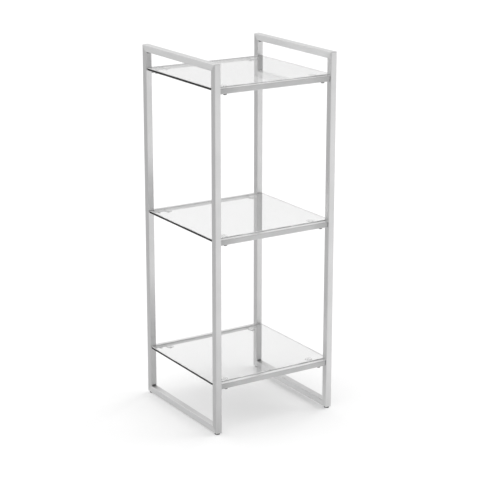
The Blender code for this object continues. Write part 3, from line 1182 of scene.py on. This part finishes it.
def glide_mesh():
    """Shallow turned foot on Z = 0."""
    profile = [(HOLLOW_MIDDLE, HOLLOW), (HOLLOW_RADIUS, 0)]
    profile += arc((GLIDE_RADIUS - GLIDE_ROUND, GLIDE_ROUND), GLIDE_ROUND, -pi / 2, pi / 2, EDGE_STEPS)
    profile += [(GLIDE_RADIUS, GLIDE_HEIGHT - GLIDE_RIM), (GLIDE_RADIUS - GLIDE_RIM, GLIDE_HEIGHT)]
    return finish_mesh(turned(profile), "glide", GLIDE_PLASTIC)


glides = set_out(glide_mesh(), Columns=2, Rows=2, Levels=1, Width=2 * GLIDE_MIDDLE.x,
                 Depth=2 * GLIDE_MIDDLE.y, Base=0.0, Pitch=0.0, Back_Turn=0.0, Finish=GLIDE_PLASTIC)
glide_nodes = [f"{end}_{side}_glide" for end in ENDS for side in SIDES]
add_piece("glides", glides, "frame", "dark_plastic", *glide_nodes)

# %% [markdown]
# Welds
#
# A weld fills each inner corner of a frame. The outside is ground flush, but the grinder can't reach
# inside the corner, so a small rippled bead stays and reads as a dark mark. A dark texture would do from
# afar, but it would leave the corner empty up close. Eight beads are few enough to be skinned directly,
# each as a row of hollow fillets whose size swells and shrinks.

# %% Shape a bead
BEAD = 0.0034
BEAD_ROOT = 0.0004
BEAD_SLICES = 42
BEAD_POINTS = 6
RIPPLES = 7
RIPPLE = 0.05
RUN_OUT = 6
RUN_OUT_SIZE = 0.25


def bead_size(share):
    """Size of a bead at a share of its length: rippled, and smaller towards both ends."""
    swell = 1 - RIPPLE + RIPPLE * cos(2 * pi * RIPPLES * share)
    ends = min(1.0, RUN_OUT * share, RUN_OUT * (1 - share))
    return BEAD * swell * (RUN_OUT_SIZE + (1 - RUN_OUT_SIZE) * ends)


def add_bead(bm, inner_y, inner_z, way_y, way_z, start, end):
    """Rippled fillet in an inner corner of a frame, between two X places."""
    rings = []
    for number in range(BEAD_SLICES + 1):
        share = number / BEAD_SLICES
        size = bead_size(share)
        points = [(-BEAD_ROOT, -BEAD_ROOT)]
        for point in range(BEAD_POINTS + 1):
            turn = pi / 2 * point / BEAD_POINTS
            points.append((size * (1 - sin(turn)), size * (1 - cos(turn))))
        x = start + (end - start) * share
        rings.append([bm.verts.new((x, inner_y + way_y * y, inner_z + way_z * z)) for y, z in points])
    for ring, following in zip(rings, rings[1:]):
        for place in range(len(ring)):
            bm.faces.new((ring[place - 1], ring[place], following[place], following[place - 1]))
    bm.faces.new(rings[0])
    bm.faces.new(rings[-1][::-1])


print(f"beads: {1000 * BEAD:.1f} mm with {RIPPLES} ripples")

# %% Lay eight beads
WELD_GREY = 0.2
WELD_ROUGHNESS = 0.42
BEAD_INSET = 0.0022

WELD_STEEL = brushed_steel("weld_steel", WELD_GREY, WELD_ROUGHNESS, "Object", length=0.004, width=0.0008)
welds = bmesh.new()
for end in ENDS:
    post_low, post_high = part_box(f"{end}_front_post")
    for way_y in (1, -1):
        for way_z in (1, -1):
            inner_y = way_y * (post_low.y + POST)
            inner_z = post_low.z + POST if way_z > 0 else post_high.z - POST
            add_bead(welds, inner_y, inner_z, way_y, way_z,
                     post_low.x + BEAD_INSET, post_high.x - BEAD_INSET)
add_piece("corner_welds", finish_mesh(welds, "corner_welds", WELD_STEEL), "frame", "satin_steel")

# %% [markdown]
# Edges of the glass
#
# A sheet of glass looks clear on its faces and not on its edges. Its two free edges are polished and
# look nearly black from outside, because they show the depth of the sheet. The edges tucked behind the
# rails are only ground, and pale, and so is the narrow arris round both faces. One clear finish all over
# would need dozens of bounces for this, and leaves black stripes, so the edges have finishes of their
# own. From inside the sheet, the dark edge is clear.

# %% Mix the edge finishes
EDGE_PATCH = 0.03
EDGE_DARK = 0.8
EDGE_LIGHT = 1.2
EDGE_GLOSS = 0.1
FREE_GREY = 0.012
FREE_SHINE = 0.2
TUCKED_GREY = 0.65
ARRIS_GREY = 0.85
PLAIN_SHINE = 0.5


def ground_edge(name, grey, roughness, shine=PLAIN_SHINE):
    """Edge of a sheet of glass, ground to a soft gloss."""
    material, tree, shader = new_finish(name)
    haze = effect(tree, HANDLING, place_of(tree), Patch=EDGE_PATCH)
    shader.inputs["Specular IOR Level"].default_value = shine
    ground = grey_between(tree, haze, EDGE_DARK * grey, EDGE_LIGHT * grey)
    feed(tree, shader.inputs["Base Color"], ground)
    feed(tree, shader.inputs["Roughness"], remap(tree, haze, roughness, roughness + EDGE_GLOSS))
    return material


def clear_from_inside(material):
    """Let light that arrives through the glass pass on."""
    tree = material.node_tree
    inside = add_node(tree, "ShaderNodeNewGeometry").outputs["Backfacing"]
    clear = add_node(tree, "ShaderNodeBsdfTransparent")
    look = mix_shaders(tree, inside, tree.nodes["Principled BSDF"].outputs[0], clear.outputs[0])
    feed(tree, tree.nodes["Material Output"].inputs["Surface"], look)


FREE_GLASS_EDGE = ground_edge("free_glass_edge", FREE_GREY, roughness=0.12, shine=FREE_SHINE)
clear_from_inside(FREE_GLASS_EDGE)
TUCKED_GLASS_EDGE = ground_edge("tucked_glass_edge", TUCKED_GREY, roughness=0.2)
FROSTED_ARRIS = ground_edge("frosted_arris", ARRIS_GREY, roughness=0.4)

print("finishes:", FREE_GLASS_EDGE.name, TUCKED_GLASS_EDGE.name, FROSTED_ARRIS.name)

# %% [markdown]
# Glass panels
#
# Each panel is float glass with small rounded corners and a ground arris along its edges. A bevelled box
# would have the same shape, but its faces would be hard to tell apart. Four stacked outlines give bands
# of faces that each take their finish: clear faces, a frosted arris, and dark or pale edges. Every panel
# rides on its own body, because it can be lifted off.

# %% Build a sheet of glass
GLASS_CORNER = 0.004
GLASS_CORNER_STEPS = 8
GLASS_SHARP = radians(30)
ARRIS = 0.0009
EDGE_BAND = 1
PANEL_FINISHES = [SHEET_GLASS, FREE_GLASS_EDGE, TUCKED_GLASS_EDGE, FROSTED_ARRIS]


def band_finish(band, step):
    """Finish of a face of the rim, by its band and by the way the outline runs there."""
    if band != EDGE_BAND:
        return FROSTED_ARRIS
    return FREE_GLASS_EDGE if abs(step.y) > abs(step.x) else TUCKED_GLASS_EDGE


def panel_mesh(name, low, high):
    """Sheet of glass that fills a box, with rounded corners."""
    bm = bmesh.new()
    middle = (low + high) / 2
    size = high - low
    full = rounded_rectangle(size.x, size.y, GLASS_CORNER, GLASS_CORNER_STEPS)
    cut = rounded_rectangle(size.x - 2 * ARRIS, size.y - 2 * ARRIS, GLASS_CORNER - ARRIS,
                            GLASS_CORNER_STEPS)
    stations = [(cut, low.z), (full, low.z + ARRIS), (full, high.z - ARRIS), (cut, high.z)]
    rings = []
    for outline, z in stations:
        rings.append([bm.verts.new((middle.x + x, middle.y + y, z)) for x, y in outline])
    for band, (ring, following) in enumerate(zip(rings, rings[1:])):
        for place in range(len(ring)):
            face = bm.faces.new((ring[place - 1], ring[place], following[place], following[place - 1]))
            step = ring[place].co - ring[place - 1].co
            face.material_index = PANEL_FINISHES.index(band_finish(band, step))
    bm.faces.new(rings[0][::-1])
    bm.faces.new(rings[-1])
    mesh = finish_mesh(bm, name, PANEL_FINISHES[0], GLASS_SHARP)
    for finish in PANEL_FINISHES[1:]:
        mesh.materials.append(finish)
    return mesh


print("finishes of a panel:", [finish.name for finish in PANEL_FINISHES])

# %% Place three panels
for level in LEVELS:
    mesh = panel_mesh(f"{level}_glass_panel", *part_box(f"{level}_glass"))
    add_piece(f"{level}_glass_panel", mesh, f"{level}_panel", "clear_glass", f"{level}_glass")
